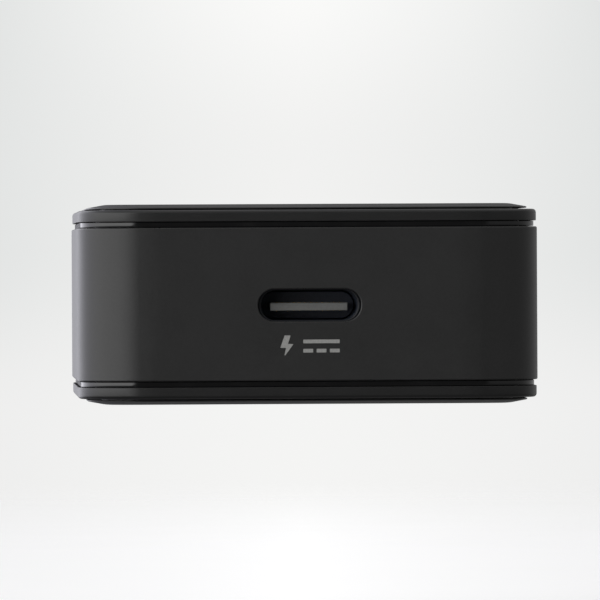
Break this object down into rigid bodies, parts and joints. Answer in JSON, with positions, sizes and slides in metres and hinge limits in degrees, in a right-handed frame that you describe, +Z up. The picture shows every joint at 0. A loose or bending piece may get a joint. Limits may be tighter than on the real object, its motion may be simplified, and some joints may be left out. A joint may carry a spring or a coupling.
{
  "type": "usb wall charger",
  "caption": "Slim usb wall charger: rounded box in layers with trim grooves, inset bevelled plates, a USB-C port on one end and a plug that folds flat into the body.",
  "frame": {"origin": "middle of the footprint, on the plug face that the body stands on", "axes": "-Y out of the USB-C port, +Z up from the plug face to the top plate, +X to the right seen from the port"},
  "size_m": [0.04, 0.048, 0.0173],
  "materials": {
    "matte_casing": "matte",
    "gloss_trim": "gloss",
    "inner_moulding": "satin",
    "plated_brass": "polished",
    "spring_steel": "satin",
    "socket_shell": "satin",
    "socket_tongue": "satin",
    "gold_plate": "polished",
    "board": "satin",
    "copper_wire": "satin",
    "ferrite": "matte",
    "yellow_tape": "satin",
    "phenolic": "satin",
    "capacitor_sleeve": "satin",
    "rubber": "matte",
    "aluminium": "satin",
    "chip_epoxy": "satin",
    "blue_ceramic": "satin",
    "capacitor_case": "satin",
    "insulating_film": "satin",
    "adhesive": "matte"
  },
  "bodies": {
    "charger_body": {"sleeve": "matte_casing", "top_cover": "matte_casing", "bottom_cover": "matte_casing", "top_plate": "matte_casing", "bottom_plate": "matte_casing", "top_trim_ring": "gloss_trim", "bottom_trim_ring": "gloss_trim", "plug_bay": "inner_moulding", "carrier_retainer": "inner_moulding", "left_blade_contact": "spring_steel", "right_blade_contact": "spring_steel", "detent_spring": "spring_steel", "left_retainer_screw": "spring_steel", "right_retainer_screw": "spring_steel", "usb_shell": "socket_shell", "usb_tongue": "socket_tongue", "upper_usb_contacts": "gold_plate", "lower_usb_contacts": "gold_plate", "usb_board": "board", "main_board": "board", "transformer_winding": "copper_wire", "left_choke_winding": "copper_wire", "right_choke_winding": "copper_wire", "front_core_half": "ferrite", "rear_core_half": "ferrite", "choke_core": "ferrite", "output_inductor": "ferrite", "core_tape": "yellow_tape", "transformer_bobbin": "phenolic", "input_inductor": "phenolic", "left_bulk_capacitor": "capacitor_sleeve", "right_bulk_capacitor": "capacitor_sleeve", "left_capacitor_bung": "rubber", "right_capacitor_bung": "rubber", "inner_output_capacitor": "aluminium", "outer_output_capacitor": "aluminium", "fuse": "aluminium", "heat_spreader": "aluminium", "sync_rectifier": "chip_epoxy", "usb_controller": "chip_epoxy", "bridge_rectifier": "chip_epoxy", "switching_controller": "chip_epoxy", "optocoupler": "chip_epoxy", "varistor": "blue_ceramic", "safety_capacitor": "blue_ceramic", "filter_capacitor": "capacitor_case", "insulating_film": "insulating_film", "top_plate_adhesive": "adhesive", "bottom_plate_adhesive": "adhesive"},
    "folding_plug": {"blade_carrier": "inner_moulding", "left_blade": "plated_brass", "right_blade": "plated_brass"}
  },
  "joints": [
    {"name": "plug_fold", "type": "hinge", "parent": "charger_body", "child": "folding_plug", "pos_m": [0, 0.0164, 0.0036], "axis": [1, 0, 0], "range_deg": [0, 90]}
  ]
}
